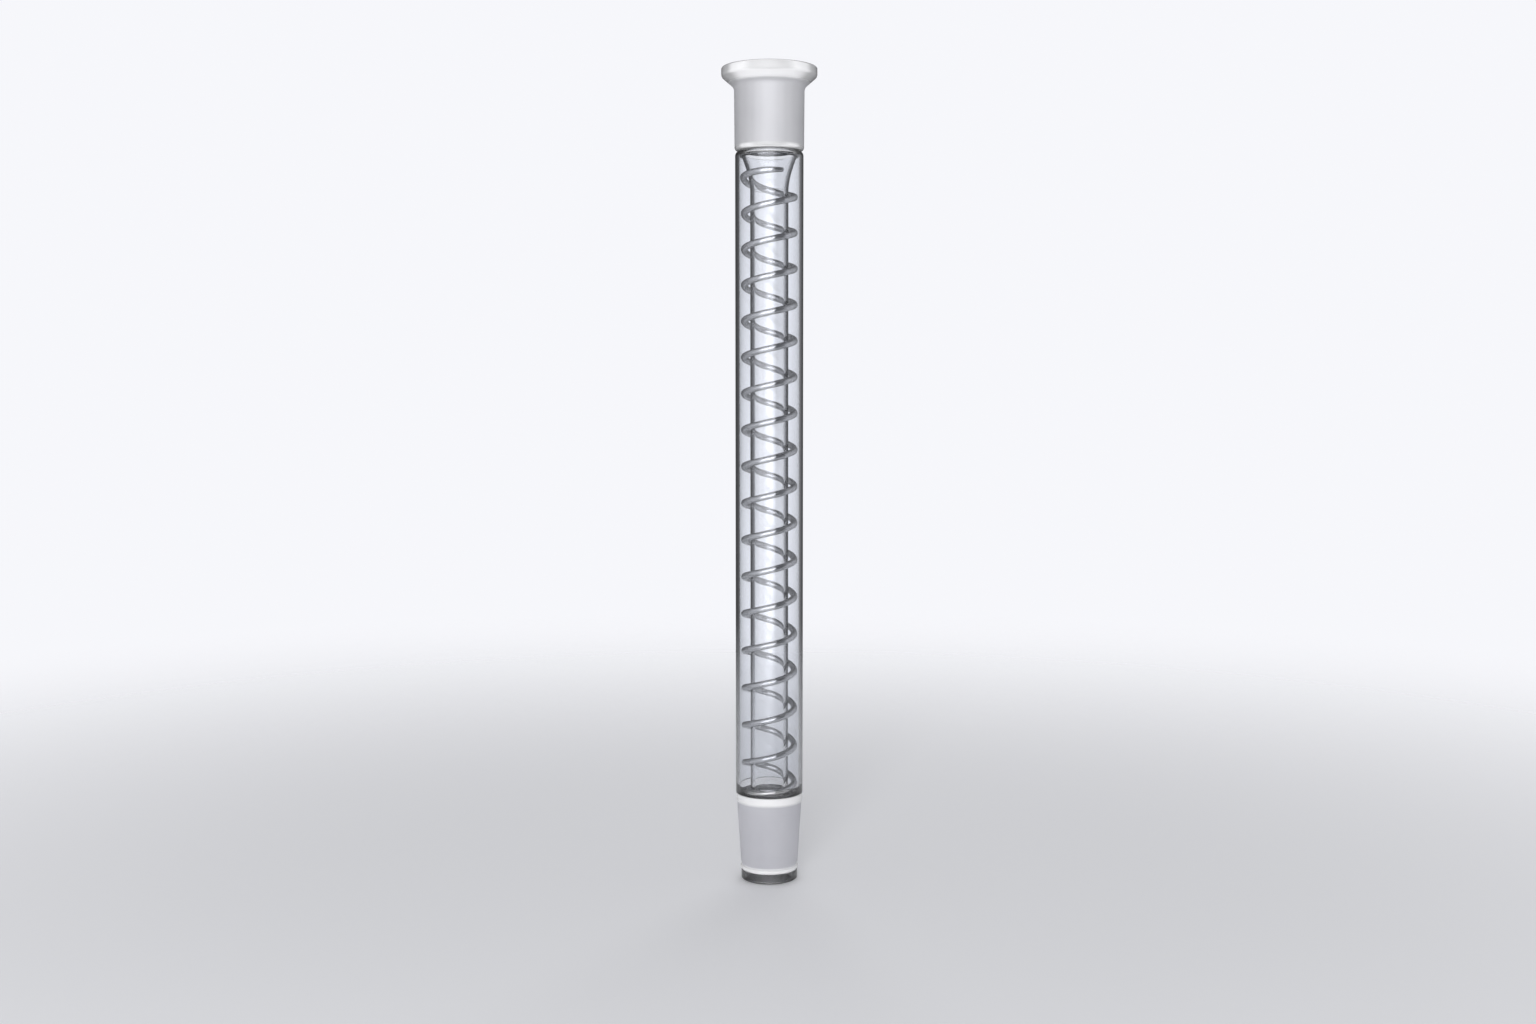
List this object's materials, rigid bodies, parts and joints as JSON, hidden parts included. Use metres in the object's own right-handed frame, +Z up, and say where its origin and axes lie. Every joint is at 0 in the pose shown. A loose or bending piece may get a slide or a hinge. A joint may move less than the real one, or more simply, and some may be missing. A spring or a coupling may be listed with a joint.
{
  "type": "laboratory condenser",
  "caption": "Straight glass condenser: ground socket on top, clear jacket round an inner tube with a loose glass-rod spiral between them, ground cone and drip ring below.",
  "frame": {"origin": "centre of the drip ring's flat lower end, on the surface that the part stands on", "axes": "+Z up along the tube's axis, towards the socket; -Y is the side that the spiral's upper end points to"},
  "size_m": [0.035, 0.035, 0.3],
  "materials": {
    "ground_glass": "ground, milky and satin",
    "clear_glass": "clear, fire polished",
    "spiral_glass": "clear rod, fire polished"
  },
  "bodies": {
    "glass_body": {"socket_joint": "ground_glass", "upper_ring_seal": "clear_glass", "jacket_tube": "clear_glass", "inner_tube_flare": "clear_glass", "inner_tube": "clear_glass", "lower_ring_seal": "clear_glass", "cone_joint": "ground_glass", "drip_ring": "clear_glass"},
    "spiral": {"glass_spiral": "spiral_glass"}
  },
  "joints": [
    {"name": "spiral_turn", "type": "hinge", "parent": "glass_body", "child": "spiral", "pos_m": [0, 0, 0.0312], "axis": [0, 0, 1], "continuous": true}
  ]
}
